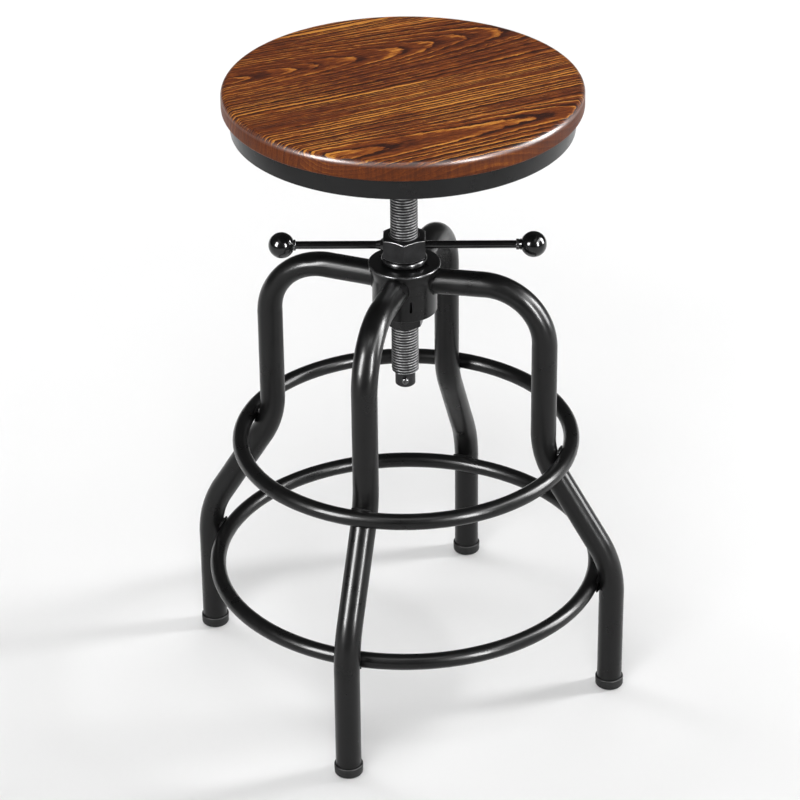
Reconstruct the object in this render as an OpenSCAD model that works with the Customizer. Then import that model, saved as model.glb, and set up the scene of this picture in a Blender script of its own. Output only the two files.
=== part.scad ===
// Adjustable swivel stool: a round wooden seat on a lifting screw, carried by four bent tube legs.
// Millimetres, +Z up. The origin is on the floor, on the screw's axis. The front leg points along -Y.

/* [Seat] */
// Diameter of the wooden seat board
board_d = 346; // [300:1:380]
// Thickness of the wooden seat board
board_h = 20; // [16:0.5:30]
// Height of the seat's top above the floor, as drawn
seat_z = 647.5; // [620:0.5:670]
// Radius of the board's upper edge
board_top_r = 6; // [2:0.5:8]
// Radius of the board's lower edge
board_low_r = 3; // [1:0.5:4]
// Diameter of the steel pan under the board
pan_d = 330; // [290:1:360]
// Height of the pan's turned-down rim
pan_h = 21; // [14:0.5:30]
// Sheet thickness of the pan
pan_t = 2; // [1.5:0.5:3]

/* [Swivel] */
// Diameter of the plate that holds the swivel socket to the pan
plate_d = 120; // [90:1:150]
// Thickness of that plate
plate_t = 4; // [3:0.5:6]
// Outer diameter of the swivel socket
socket_d = 40; // [36:1:50]
// Diameter of the spigot that the seat turns on
spigot_d = 18; // [16:0.5:20]
// Radial running clearance around the spigot
spigot_gap = 0.05; // [0.03:0.01:0.1]

/* [Lifting screw] */
// Outer diameter of the thread
thread_d = 27; // [24:0.5:30]
// Pitch of the thread
thread_pitch = 3; // [2:0.5:4]
// Lower end of the screw
screw_low_z = 324.2; // [300:0.1:330]
// Lower end of the thread
thread_low_z = 340; // [338:0.1:360]
// Upper end of the thread, where the seat's thrust washer rests
shoulder_z = 582.6; // [560:0.1:590]
// Diameter of the plain lower end
tail_d = 20; // [15:0.5:22]
// Diameter of the stop pin through the lower end
stop_pin_d = 6.4; // [5:0.2:8]
// Length of the stop pin
stop_pin_l = 33; // [29:0.5:40]

// Radial running clearance of the screw in the hub and the nuts
slide_gap = 0.08; // [0.03:0.01:0.1]

/* [T-bar] */
// Width of the T-bar's nut across the flats
nut_af = 41; // [38:0.5:46]
// Height of the T-bar's nut
nut_h = 21.8; // [18:0.2:26]
// Diameter of the T-bar's arms
arm_d = 7.8; // [6:0.2:10]
// Diameter of the T-bar's end balls
ball_d = 25.6; // [20:0.2:30]
// Distance from the screw's axis to the middle of the left ball
left_reach = 119.5; // [100:0.5:140]
// Distance from the screw's axis to the middle of the right ball
right_reach = 126; // [100:0.5:140]
// Angle of the T-bar from +X, as drawn
tbar_angle = 15.5; // [0:0.5:359]

/* [Hub] */
// Outer diameter of the hub's body
hub_d = 63.8; // [60:0.2:70]
// Outer diameter of the hub's top flange
flange_d = 71.2; // [66:0.2:76]
// Height of the hub's lower face
hub_low_z = 408.7; // [405:0.1:420]
// Height of the hub's top face
hub_top_z = 459.8; // [455:0.1:465]
// Outer diameter of the thrust washer on the hub
washer_d = 45.2; // [42:0.2:50]
// Thickness of that washer
washer_h = 7.4; // [4:0.2:9]
// Height of the hexagonal guide nut under the hub
guide_nut_h = 16.2; // [12:0.1:24]
// Width of the guide nut across the flats
guide_nut_af = 34.5; // [33:0.5:46]
// Width of the guide key and of its two slots in the hub
key_w = 2.4; // [2:0.2:4]
// Height of the guide key
key_h = 12; // [8:0.5:16]

/* [Legs] */
// Outer diameter of the leg tube
leg_d = 25.4; // [22:0.2:28]
// Wall thickness of the leg tube
leg_wall = 1.5; // [1.2:0.1:3]
// Distance from the screw's axis to a leg's upright stretch
upright_r = 141.5; // [130:0.5:150]
// Distance from the screw's axis to a foot
foot_r = 214.5; // [200:0.5:230]
// Turn of the right leg from its quarter, as welded
right_turn = 0.6; // [-3:0.1:3]
// Turn of the back leg from its quarter, as welded
back_turn = -1.7; // [-3:0.1:3]
// Turn of the left leg from its quarter, as welded
left_turn = -1.7; // [-3:0.1:3]
// Height of a leg's centre line where it meets the hub
root_z = 442.4; // [438:0.1:446]
// Rise of the leg's top stretch, in degrees
root_rise = 2.4; // [0:0.2:4]
// Height of the upper knee, where the leg turns outward
upper_knee_z = 263.6; // [250:0.1:280]
// Height of the lower knee, where the leg turns down again
lower_knee_z = 143; // [130:0.5:155]
// Centre-line radius of the top bend
top_bend_r = 59.5; // [50:0.5:70]
// Centre-line radius of the upper knee
upper_knee_r = 78; // [60:1:90]
// Centre-line radius of the lower knee
lower_knee_r = 100; // [60:1:110]
// Outer diameter of a foot cap
cap_d = 28.6; // [27:0.2:32]
// Height of a foot cap
cap_h = 11; // [9:0.5:20]
// Thickness of a foot cap's sole
cap_sole = 3; // [2:0.5:5]

/* [Rings] */
// Outer diameter of the ring tube
ring_tube_d = 16; // [14:0.5:18]
// Wall thickness of the ring tube
ring_wall = 1.5; // [1:0.1:2.5]
// Height of the upper ring, which is outside the legs
upper_ring_z = 264; // [258:0.5:270]
// Height of the lower ring, which is inside the legs
lower_ring_z = 121; // [112:0.5:124]

/* [Hidden] */
$fn = 96;
eps = 0.5;

// Colours
black_paint = [0.09, 0.09, 0.095];
black_oxide = [0.16, 0.16, 0.17];
black_rubber = [0.05, 0.05, 0.05];
bright_steel = [0.72, 0.72, 0.74];
bronze = [0.66, 0.47, 0.25];
brown_wood = [0.42, 0.21, 0.09];

// Directions of the four legs
front_angle = -90;
right_angle = right_turn;
back_angle = 90 + back_turn;
left_angle = 180 + left_turn;

// Heights of the stacked pieces, from the seat down
board_z = seat_z - board_h;
pan_top_z = board_z;
plate_top_z = pan_top_z - pan_t;
plate_z = plate_top_z - plate_t;

// Swivel: the spigot turns in a bush inside the socket
end_float = 0.2;
swivel_washer_h = 3;
swivel_washer_d = 36;
socket_z = shoulder_z + swivel_washer_h + end_float;
bush_d = 24;
bush_h = 24;
bush_bore = spigot_d + 2 * spigot_gap;
retaining_washer_z = socket_z + bush_h + end_float;
retaining_washer_h = 1.5;
clip_z = retaining_washer_z + retaining_washer_h;
clip_h = 1.2;
clip_groove_d = spigot_d - 1.6;
clip_d = 22;
clip_mouth = 7;
spigot_top_z = clip_z + clip_h + 3;

// Screws in the seat
screw_hole_d = 4;
screw_l = 14;
screw_head_d = 8.4;
screw_head_h = 2.2;
plate_screw_r = plate_d / 2 - 12;
rim_screw_r = pan_d / 2 - 26;
rim_screw_turn = 45;

// Thread, with the flats and depth of a metric thread
thread_depth = 0.6134 * thread_pitch;
crest_w = thread_pitch / 8;
root_w = thread_pitch / 4;
flank_w = (thread_pitch - crest_w - root_w) / 2;
thread_turns = floor((shoulder_z - thread_low_z) / thread_pitch);
root_r = thread_d / 2 - thread_depth;
slide_bore = thread_d + 2 * slide_gap;

// Guide key and its keyway, on the far side of the screw
key_angle = 116;
key_slot_z = 420;
keyway_depth = 2.2;
keyway_w = key_w + 0.4;
keyway_low_z = thread_low_z + 6;
keyway_top_z = shoulder_z - 2;

// Stop pin
stop_pin_z = screw_low_z + 9.8;
stop_pin_angle = -74;

// T-bar
washer_top_z = hub_top_z + washer_h;
nut_z = washer_top_z + 0.1;
arm_z = nut_z + nut_h / 2;
arm_seat_r = nut_af / 2 - 4;
ball_hole = 9;
guide_nut_turn = 35.5;

// Leg's centre line, in the plane of the leg: x is the distance from the axis
splay = atan2(foot_r - upright_r, upper_knee_z - lower_knee_z);
root_r0 = 26;
seam_lip = 0.05;
top_turn = 90 + root_rise;
top_centre = [upright_r - top_bend_r,
              root_z + (upright_r - root_r0) * tan(root_rise) - top_bend_r * tan(top_turn / 2)];
top_start = top_centre + top_bend_r * [cos(top_turn), sin(top_turn)];
upper_centre = [upright_r + upper_knee_r, upper_knee_z + upper_knee_r * tan(splay / 2)];
upper_end = upper_centre + upper_knee_r * [cos(180 + splay), sin(180 + splay)];
lower_centre = [foot_r - lower_knee_r, lower_knee_z - lower_knee_r * tan(splay / 2)];
lower_start = lower_centre + lower_knee_r * [cos(splay), sin(splay)];

// Rings, which touch the legs' surfaces: the upper one from outside, the lower one from inside
weld_bite = 0.05;
ring_r = ring_tube_d / 2;
upper_ring_gap = upper_ring_z - upper_centre[1];
upper_leg_r = upper_centre[0]
              - sqrt(pow(upper_knee_r - leg_d / 2 - ring_r + weld_bite, 2) - pow(upper_ring_gap, 2));
lower_leg_r = lower_centre[0]
              + sqrt(pow(lower_knee_r - leg_d / 2 - ring_r + weld_bite, 2)
                     - pow(max(lower_ring_z - lower_centre[1], 0), 2));

// ---- shared shapes ----

// A washer or sleeve standing on z = 0
module sleeve(outer_d, inner_d, h) {
    difference() {
        cylinder(d = outer_d, h = h);
        translate([0, 0, -eps]) cylinder(d = inner_d, h = h + 2 * eps);
    }
}

// Section of a tube
module tube_section(d, wall) {
    difference() {
        circle(d = d);
        circle(d = d - 2 * wall);
    }
}

// A straight stretch from a point, climbing at the given angle
module straight(start, climb, length) {
    translate([start[0], 0, start[1]]) rotate([0, 90 - climb, 0])
        linear_extrude(length) children();
}

// A bend about a centre, from one angle through a sweep
module bend(centre, radius, from, sweep) {
    translate([centre[0], 0, centre[1]]) rotate([90, 0, 0]) rotate([0, 0, from])
        rotate_extrude(angle = sweep) translate([radius, 0]) children();
}

// A seam where a bend meets a straight: a ring a hair proud of the tube, centred on the given point
module seam(centre, climb) {
    half = 0.4;
    straight(centre - half * [cos(climb), sin(climb)], climb, 2 * half)
        tube_section(leg_d + 2 * seam_lip, leg_wall + 2 * seam_lip);
}

// The leg's tube, from inside the hub to its foot
module leg_tube() {
    slope = splay - 90;
    straight([root_r0, root_z], root_rise, (top_start[0] - root_r0) / cos(root_rise)) leg_section();
    seam(top_start, root_rise);
    bend(top_centre, top_bend_r, 0, top_turn) leg_section();
    seam([upright_r, top_centre[1]], -90);
    straight([upright_r, top_centre[1]], -90, top_centre[1] - upper_centre[1]) leg_section();
    seam([upright_r, upper_centre[1]], -90);
    bend(upper_centre, upper_knee_r, 180, splay) leg_section();
    seam(upper_end, slope);
    straight(upper_end, slope, norm(lower_start - upper_end)) leg_section();
    seam(lower_start, slope);
    bend(lower_centre, lower_knee_r, 0, splay) leg_section();
    seam([foot_r, lower_centre[1]], -90);
    straight([foot_r, lower_centre[1]], -90, lower_centre[1] - cap_sole) leg_section();
}

module leg_section() { tube_section(leg_d, leg_wall); }

// One leg, coped to fit the hub
module leg(angle) {
    color(black_paint) rotate([0, 0, angle]) difference() {
        leg_tube();
        hub_outside();
    }
}

// One foot cap, pressed onto the end of a leg
module foot_cap(angle) {
    edge_r = 2;
    color(black_rubber) rotate([0, 0, angle]) translate([foot_r, 0, 0]) difference() {
        rotate_extrude() {
            square([cap_d / 2 - edge_r, cap_h]);
            translate([0, edge_r]) square([cap_d / 2, cap_h - edge_r]);
            translate([cap_d / 2 - edge_r, edge_r]) circle(r = edge_r);
        }
        translate([0, 0, cap_sole]) cylinder(d = leg_d, h = cap_h);
    }
}

// A welded ring with a small drain hole underneath
module ring(centre_r, z) {
    drain_d = 3;
    color(black_paint) translate([0, 0, z]) difference() {
        rotate_extrude() translate([centre_r, 0]) tube_section(ring_tube_d, ring_wall);
        rotate([0, 0, 45]) translate([centre_r, 0, -ring_tube_d]) cylinder(d = drain_d, h = ring_tube_d);
    }
}

// A hexagon with its corners turned off at both ends
module chamfered_hex(af, h, turn) {
    corner_drop = 1.8;
    crown_d = af * 0.96;
    hex_r = af / 2 / cos(30);
    slope = (hex_r - crown_d / 2) / corner_drop;
    reach = hex_r + 1;
    intersection() {
        rotate([0, 0, turn]) cylinder(r = hex_r, h = h, $fn = 6);
        rotate_extrude() polygon([
            [0, 0], [crown_d / 2, 0], [reach, (reach - crown_d / 2) / slope],
            [reach, h - (reach - crown_d / 2) / slope], [crown_d / 2, h], [0, h]
        ]);
    }
}

// A pan-head wood screw, pointing up from z = 0, with its head below
module wood_screw() {
    tip = 3;
    shank_r = screw_hole_d / 2;
    rotate_extrude() polygon([
        [0, -screw_head_h], [screw_head_d / 2 - 1.2, -screw_head_h], [screw_head_d / 2, -1],
        [screw_head_d / 2, 0], [shank_r, 0], [shank_r, screw_l - tip], [0, screw_l]
    ]);
}

// Places children at four screw positions
module at_screws(radius, first) {
    for (i = [0:3]) rotate([0, 0, first + 90 * i]) translate([radius, 0, 0]) children();
}

// ---- frame ----

// The hub's body spreads into its flange over a cone
module hub_outside() {
    flange_h = 3;
    cone_h = 11;
    edge = 0.8;
    top = hub_top_z - hub_low_z;
    translate([0, 0, hub_low_z]) rotate_extrude() polygon([
        [0, 0], [hub_d / 2 - edge, 0], [hub_d / 2, edge],
        [hub_d / 2, top - flange_h - cone_h], [flange_d / 2, top - flange_h],
        [flange_d / 2, top - edge], [flange_d / 2 - edge, top], [0, top]
    ]);
}

module hub() {
    color(black_paint) difference() {
        hub_outside();
        translate([0, 0, hub_low_z - eps]) cylinder(d = slide_bore, h = hub_top_z - hub_low_z + 2 * eps);
        rotate([0, 0, key_angle])
            translate([-flange_d / 2, -key_w / 2, key_slot_z]) cube([flange_d, key_w, key_h]);
    }
}

module thrust_washer() {
    edge_r = 3;
    outer_r = washer_d / 2;
    color(black_oxide) translate([0, 0, hub_top_z]) difference() {
        rotate_extrude() {
            square([outer_r - edge_r, washer_h]);
            translate([0, edge_r]) square([outer_r, washer_h - 2 * edge_r]);
            translate([outer_r - edge_r, edge_r]) circle(r = edge_r);
            translate([outer_r - edge_r, washer_h - edge_r]) circle(r = edge_r);
        }
        translate([0, 0, -eps]) cylinder(d = slide_bore, h = washer_h + 2 * eps);
    }
}

module guide_nut() {
    color(black_paint) translate([0, 0, hub_low_z - guide_nut_h]) difference() {
        chamfered_hex(guide_nut_af, guide_nut_h, guide_nut_turn);
        translate([0, 0, -eps]) cylinder(d = slide_bore, h = guide_nut_h + 2 * eps);
    }
}

// The key fills the far slot and its tip runs in the screw's keyway
module guide_key() {
    inner_r = thread_d / 2 - keyway_depth + 0.4;
    color(bright_steel) rotate([0, 0, key_angle])
        translate([inner_r, -key_w / 2, key_slot_z]) cube([hub_d / 2 - 0.6 - inner_r, key_w, key_h]);
}

module leg_front() { leg(front_angle); }
module leg_right() { leg(right_angle); }
module leg_back() { leg(back_angle); }
module leg_left() { leg(left_angle); }

module foot_cap_front() { foot_cap(front_angle); }
module foot_cap_right() { foot_cap(right_angle); }
module foot_cap_back() { foot_cap(back_angle); }
module foot_cap_left() { foot_cap(left_angle); }

module upper_ring() { ring(upper_leg_r, upper_ring_z); }
module lower_ring() { ring(lower_leg_r, lower_ring_z); }

// ---- T-bar ----

module tbar_nut() {
    mouth = 1.2;
    color(black_oxide) rotate([0, 0, tbar_angle]) translate([0, 0, nut_z]) difference() {
        chamfered_hex(nut_af, nut_h, 30);
        translate([0, 0, -eps]) cylinder(d = slide_bore, h = nut_h + 2 * eps);
        translate([0, 0, nut_h - mouth])
            cylinder(d1 = slide_bore, d2 = slide_bore + 2 * mouth + 0.2, h = mouth + 0.1);
        for (side = [0, 180]) rotate([0, 0, side]) translate([arm_seat_r, 0, nut_h / 2])
            rotate([0, 90, 0]) cylinder(d = arm_d, h = nut_af);
    }
}

// An arm lies along its own z axis, from the bottom of its hole in the nut to inside the ball
module place_arm(side) {
    color(black_paint) rotate([0, 0, tbar_angle + side]) translate([0, 0, arm_z]) rotate([0, 90, 0])
        children();
}

module left_arm() {
    fillet_r = arm_d / 2 + 3.2;
    fillet_l = 7;
    arm_end = left_reach - ball_d / 2 + ball_hole;
    face = nut_af / 2;
    place_arm(180) rotate_extrude() polygon([
        [0, arm_seat_r], [arm_d / 2, arm_seat_r], [arm_d / 2, face], [fillet_r, face],
        [arm_d / 2 + 0.8, face + fillet_l * 0.4], [arm_d / 2, face + fillet_l],
        [arm_d / 2, arm_end], [0, arm_end]
    ]);
}

module right_arm() {
    arm_end = right_reach - ball_d / 2 + ball_hole;
    place_arm(0) translate([0, 0, arm_seat_r]) cylinder(d = arm_d, h = arm_end - arm_seat_r);
}

// A ball with a flat where the arm enters
module end_ball(reach, flat) {
    difference() {
        translate([0, 0, reach]) sphere(d = ball_d);
        translate([0, 0, reach - ball_d / 2 - eps]) cylinder(d = arm_d, h = ball_hole + eps);
        translate([-ball_d, -ball_d, reach - ball_d]) cube([2 * ball_d, 2 * ball_d, ball_d / 2 + flat]);
    }
}

module left_ball() { place_arm(180) end_ball(left_reach, 1.6); }

module right_ball() {
    collar_d = arm_d + 3.6;
    collar_l = 3;
    place_arm(0) {
        end_ball(right_reach, 0.8);
        translate([0, 0, right_reach - ball_d / 2 - collar_l + 0.8]) difference() {
            cylinder(d1 = arm_d + 1.4, d2 = collar_d, h = collar_l);
            translate([0, 0, -eps]) cylinder(d = arm_d, h = collar_l + 2 * eps);
        }
    }
}

// ---- lifting screw ----

// Side of the thread from its lower end up: root, flank, crest and flank of each turn
function thread_points() = [
    for (i = [0:thread_turns - 1]) let (z = thread_low_z + i * thread_pitch)
        each [[root_r, z + root_w / 2], [thread_d / 2, z + root_w / 2 + flank_w],
              [thread_d / 2, z + root_w / 2 + flank_w + crest_w],
              [root_r, z + thread_pitch - root_w / 2]]
];

module lift_screw() {
    tail_edge = 1;
    lead_in = 1;
    color(black_oxide) difference() {
        rotate_extrude() polygon(concat(
            [[0, screw_low_z], [tail_d / 2 - tail_edge, screw_low_z],
             [tail_d / 2, screw_low_z + tail_edge], [tail_d / 2, thread_low_z], [root_r, thread_low_z]],
            thread_points(),
            [[root_r, shoulder_z], [spigot_d / 2, shoulder_z],
             [spigot_d / 2, clip_z], [clip_groove_d / 2, clip_z],
             [clip_groove_d / 2, clip_z + clip_h], [spigot_d / 2, clip_z + clip_h],
             [spigot_d / 2, spigot_top_z - lead_in], [spigot_d / 2 - lead_in, spigot_top_z],
             [0, spigot_top_z]]
        ));
        rotate([0, 0, key_angle]) translate([thread_d / 2 - keyway_depth, -keyway_w / 2, keyway_low_z])
            cube([thread_d, keyway_w, keyway_top_z - keyway_low_z]);
        rotate([0, 0, stop_pin_angle]) translate([0, 0, stop_pin_z]) rotate([0, 90, 0])
            cylinder(d = stop_pin_d, h = thread_d * 2, center = true);
    }
}

module stop_pin() {
    edge = 1.4;
    half = stop_pin_l / 2;
    r = stop_pin_d / 2;
    color(black_oxide) rotate([0, 0, stop_pin_angle]) translate([0, 0, stop_pin_z]) rotate([0, 90, 0])
        rotate_extrude() polygon([
            [0, -half], [r - edge, -half], [r, edge - half], [r, half - edge], [r - edge, half], [0, half]
        ]);
}

module swivel_thrust_washer() {
    color(bronze) translate([0, 0, shoulder_z]) sleeve(swivel_washer_d, spigot_d, swivel_washer_h);
}

module retaining_washer() {
    color(bright_steel) translate([0, 0, retaining_washer_z])
        sleeve(clip_d, spigot_d, retaining_washer_h);
}

module retaining_clip() {
    color(black_oxide) translate([0, 0, clip_z]) difference() {
        sleeve(clip_d, clip_groove_d, clip_h);
        translate([0, -clip_mouth / 2, -eps]) cube([clip_d, clip_mouth, clip_h + 2 * eps]);
    }
}

// ---- seat ----

module swivel_bush() {
    color(bronze) translate([0, 0, socket_z]) sleeve(bush_d, bush_bore, bush_h);
}

module swivel_socket() {
    skirt = 6;
    color(black_paint) difference() {
        union() {
            translate([0, 0, socket_z]) cylinder(d = socket_d, h = plate_top_z - socket_z);
            translate([0, 0, plate_z - skirt])
                cylinder(d1 = socket_d, d2 = socket_d + 2 * skirt, h = skirt);
            translate([0, 0, plate_z]) cylinder(d = plate_d, h = plate_t);
        }
        translate([0, 0, socket_z - eps]) cylinder(d = bush_d, h = plate_top_z - socket_z + 2 * eps);
        at_screws(plate_screw_r, 0) translate([0, 0, plate_z - eps])
            cylinder(d = screw_hole_d, h = plate_t + 2 * eps);
    }
}

module seat_pan() {
    corner_r = 3;
    outer_r = pan_d / 2;
    color(black_paint) difference() {
        translate([0, 0, pan_top_z - pan_h]) rotate_extrude() {
            square([outer_r - corner_r, pan_h]);
            square([outer_r, pan_h - corner_r]);
            translate([outer_r - corner_r, pan_h - corner_r]) circle(r = corner_r);
        }
        translate([0, 0, pan_top_z - pan_h - eps]) cylinder(r = outer_r - pan_t, h = pan_h - pan_t + eps);
        translate([0, 0, pan_top_z - pan_h]) {
            at_screws(plate_screw_r, 0) cylinder(d = screw_hole_d, h = 2 * pan_h);
            at_screws(rim_screw_r, rim_screw_turn) cylinder(d = screw_hole_d, h = 2 * pan_h);
        }
    }
}

module seat_board() {
    outer_r = board_d / 2;
    color(brown_wood) difference() {
        translate([0, 0, board_z]) rotate_extrude() {
            square([outer_r - board_top_r, board_h]);
            translate([0, board_low_r]) square([outer_r, board_h - board_low_r - board_top_r]);
            square([outer_r - board_low_r, board_h - board_top_r]);
            translate([outer_r - board_low_r, board_low_r]) circle(r = board_low_r);
            translate([outer_r - board_top_r, board_h - board_top_r]) circle(r = board_top_r);
        }
        at_screws(plate_screw_r, 0) translate([0, 0, plate_z]) wood_screw();
        at_screws(rim_screw_r, rim_screw_turn) translate([0, 0, plate_top_z]) wood_screw();
    }
}

module plate_screws() {
    color(bright_steel) at_screws(plate_screw_r, 0) translate([0, 0, plate_z]) wood_screw();
}

module rim_screws() {
    color(bright_steel) at_screws(rim_screw_r, rim_screw_turn) translate([0, 0, plate_top_z]) wood_screw();
}

hub();
thrust_washer();
guide_nut();
guide_key();
leg_front();
leg_right();
leg_back();
leg_left();
foot_cap_front();
foot_cap_right();
foot_cap_back();
foot_cap_left();
upper_ring();
lower_ring();
tbar_nut();
left_arm();
right_arm();
left_ball();
right_ball();
lift_screw();
stop_pin();
swivel_thrust_washer();
retaining_washer();
retaining_clip();
swivel_bush();
swivel_socket();
seat_pan();
seat_board();
plate_screws();
rim_screws();
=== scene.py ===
"""Adjustable swivel stool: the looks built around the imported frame. Metres, +Z up, front leg along -Y."""

import math

import bmesh
import bpy
from mathutils import Matrix, Vector


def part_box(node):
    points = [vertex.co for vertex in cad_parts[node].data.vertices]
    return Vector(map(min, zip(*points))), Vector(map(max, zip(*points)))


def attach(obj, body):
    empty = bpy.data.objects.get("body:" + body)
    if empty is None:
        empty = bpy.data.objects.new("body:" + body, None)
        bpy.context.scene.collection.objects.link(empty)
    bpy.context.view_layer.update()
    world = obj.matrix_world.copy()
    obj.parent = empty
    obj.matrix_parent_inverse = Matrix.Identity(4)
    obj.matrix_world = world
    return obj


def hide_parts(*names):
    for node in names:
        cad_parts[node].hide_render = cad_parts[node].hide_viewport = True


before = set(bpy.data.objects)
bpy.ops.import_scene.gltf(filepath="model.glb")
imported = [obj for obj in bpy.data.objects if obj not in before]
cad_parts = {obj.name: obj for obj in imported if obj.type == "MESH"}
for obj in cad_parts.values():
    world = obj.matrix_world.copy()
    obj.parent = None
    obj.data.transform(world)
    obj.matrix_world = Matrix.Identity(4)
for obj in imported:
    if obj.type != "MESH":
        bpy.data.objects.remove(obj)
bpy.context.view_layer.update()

TAU = 2 * math.pi
MM = 0.001
UP = Vector((0, 0, 1))

# mesh work: points closer than SAME_POINT are joined, and edges that turn more than an angle are
# shaded as sharp (CREASE, or CAD_CREASE on the CAD nodes) or bevelled (BEVEL_FROM)
SAME_POINT = 1e-7
CREASE = math.radians(32)
CAD_CREASE = math.radians(28)
BEVEL_FROM = math.radians(30)
SEAT_SIDES = 256

# how the pieces stand about the screw's axis
LEGS = ("front", "right", "back", "left")
T_BAR_TURN = math.radians(15.5)
GUIDE_NUT_TURN = math.radians(35.5)
SLOT_TURN = math.radians(297)
PIN_TURN = math.radians(-74)

# the bent legs
LEG_RADIUS = 12.7 * MM
ROOT_START, ROOT_Z = 24 * MM, 442.4 * MM
ROOT_RISE = math.radians(2.4)
UPRIGHT_R, FOOT_R = 141.5 * MM, 214.5 * MM
TOP_BEND, UPPER_KNEE, LOWER_KNEE = 59.5 * MM, 78 * MM, 100 * MM
UPPER_KNEE_Z, LOWER_KNEE_Z = 263.6 * MM, 143 * MM
FOOT_CAP_R = 14.3 * MM

# the hub, the nuts and the thread
HUB_BODY_R = 31.9 * MM
HUB_BORE = 13.6 * MM
THREAD_PITCH = 3 * MM
THREAD_LOW = 340 * MM
NUT_CLEARANCE = 0.08 * MM

# how the seat's wood was cut and glued
GRAIN_TURN = math.radians(40)
PLANK_WIDTH = 0.115
PLANK_EDGE = -0.095
RINGS_PER_METRE = 215.0
TREE_SEED = 11.0

# the photograph's point of view
CAMERA_TURN = math.radians(16.2)
CAMERA_PITCH = math.radians(28.72)
CAMERA_ROLL = math.radians(-0.58)
CAMERA_DISTANCE = 3.134
LENS_MM = 142.06
SENSOR_MM = 36.0
FRAMING_SHIFT = -0.0498
AIM = Vector((-0.0052, 0, 0.350))


# ---------------------------------------------------------------- sizes taken from the frame

def reach(node):
    """Largest distance of a node's points from the screw's axis."""
    return max(math.hypot(v.co.x, v.co.y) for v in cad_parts[node].data.vertices)


def span(node):
    """Lowest and highest z of a node."""
    low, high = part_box(node)
    return low.z, high.z


def middle(node):
    """Middle of a node's box."""
    low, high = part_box(node)
    return (low + high) / 2


def direction(node):
    """Angle of a node's middle about the screw's axis."""
    centre = middle(node)
    return math.atan2(centre.y, centre.x)


def leg_turn(name):
    """Angle of a leg about the screw's axis."""
    return direction("foot_cap_" + name)


# ---------------------------------------------------------------- mesh helpers

def in_scene(name, data):
    """A new object that holds the data, linked to the scene."""
    obj = bpy.data.objects.new(name, data)
    bpy.context.scene.collection.objects.link(obj)
    return obj


def mesh_of(name, shape):
    """A mesh from a (verts, faces) shape, with doubled points joined and faces turned outwards."""
    verts, faces = shape
    mesh = bpy.data.meshes.new(name)
    mesh.from_pydata([tuple(v) for v in verts], [], faces)
    work = bmesh.new()
    work.from_mesh(mesh)
    bmesh.ops.remove_doubles(work, verts=work.verts, dist=SAME_POINT)
    bmesh.ops.dissolve_degenerate(work, dist=SAME_POINT, edges=work.edges)
    bmesh.ops.recalc_face_normals(work, faces=work.faces)
    work.to_mesh(mesh)
    work.free()
    return mesh


def add_object(name, shape, material, body, stands_for=()):
    """Makes a piece, shades it smooth up to the crease angle and lets it ride."""
    mesh = mesh_of(name, shape)
    mesh.shade_smooth()
    mesh.set_sharp_from_angle(angle=CREASE)
    obj = in_scene(name, mesh)
    mesh.materials.append(material)
    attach(obj, body)
    if stands_for:
        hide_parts(*stands_for)
    return obj


def grid_faces(rows, columns, close_rows=False):
    """Quads over rows of points, where each row closes on itself."""
    faces = []
    for r in range(rows if close_rows else rows - 1):
        a, b = r * columns, (r + 1) % rows * columns
        for c in range(columns):
            d = (c + 1) % columns
            faces.append((a + c, a + d, b + d, b + c))
    return faces


def end_caps(rows, columns):
    """One face over the first row of points and one over the last."""
    return [tuple(reversed(range(columns))), tuple(range((rows - 1) * columns, rows * columns))]


def polar(radius, angle, height):
    """A point at a distance and an angle about +Z."""
    return Vector((radius * math.cos(angle), radius * math.sin(angle), height))


def arc(cx, cy, radius, start, end, steps):
    """Points on an arc, with angles in degrees."""
    angles = [math.radians(start + (end - start) * i / steps) for i in range(steps + 1)]
    return [(cx + radius * math.cos(a), cy + radius * math.sin(a)) for a in angles]


def moved(shape, place):
    """A shape with a matrix applied to its points."""
    verts, faces = shape
    return [place @ v for v in verts], faces


def joined(*shapes):
    """Several shapes as one."""
    verts, faces = [], []
    for more_verts, more_faces in shapes:
        start = len(verts)
        verts += more_verts
        faces += [tuple(i + start for i in face) for face in more_faces]
    return verts, faces


def lathe(outline, sides, closed=False):
    """Turns an outline of (radius, height) points about +Z. A closed outline makes a ring shape."""
    verts = [polar(radius, TAU * i / sides, height) for radius, height in outline for i in range(sides)]
    return verts, grid_faces(len(outline), sides, close_rows=closed)


def sweep(points, section, normal_hint, closed=False):
    """Sweeps section(i) -> [(across, along_normal), ...] along points, and caps both ends if it is open."""
    n = len(points)
    verts = []
    for i, point in enumerate(points):
        before = points[i - 1] if (i > 0 or closed) else point
        after = points[(i + 1) % n] if (i < n - 1 or closed) else point
        tangent = (after - before).normalized()
        side = tangent.cross(normal_hint(i)).normalized()
        normal = side.cross(tangent).normalized()
        verts += [point + side * x + normal * y for x, y in section(i)]
    size = len(verts) // n
    faces = grid_faces(n, size, close_rows=closed)
    return verts, faces if closed else faces + end_caps(n, size)


def round_section(radius_x, radius_y, sides):
    """An ellipse for sweep()."""
    angles = [TAU * k / sides for k in range(sides)]
    return [(radius_x * math.cos(a), radius_y * math.sin(a)) for a in angles]


def cut(obj, shape):
    """Takes a closed shape out of an object for good."""
    tool = in_scene("cutter", mesh_of("cutter", shape))
    modifier = obj.modifiers.new("cut", "BOOLEAN")
    modifier.operation, modifier.solver, modifier.object = "DIFFERENCE", "EXACT", tool
    bpy.context.view_layer.update()
    done = bpy.data.meshes.new_from_object(obj.evaluated_get(bpy.context.evaluated_depsgraph_get()))
    obj.modifiers.remove(modifier)
    obj.data = done
    bpy.data.objects.remove(tool)
    done.set_sharp_from_angle(angle=CREASE)


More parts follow.
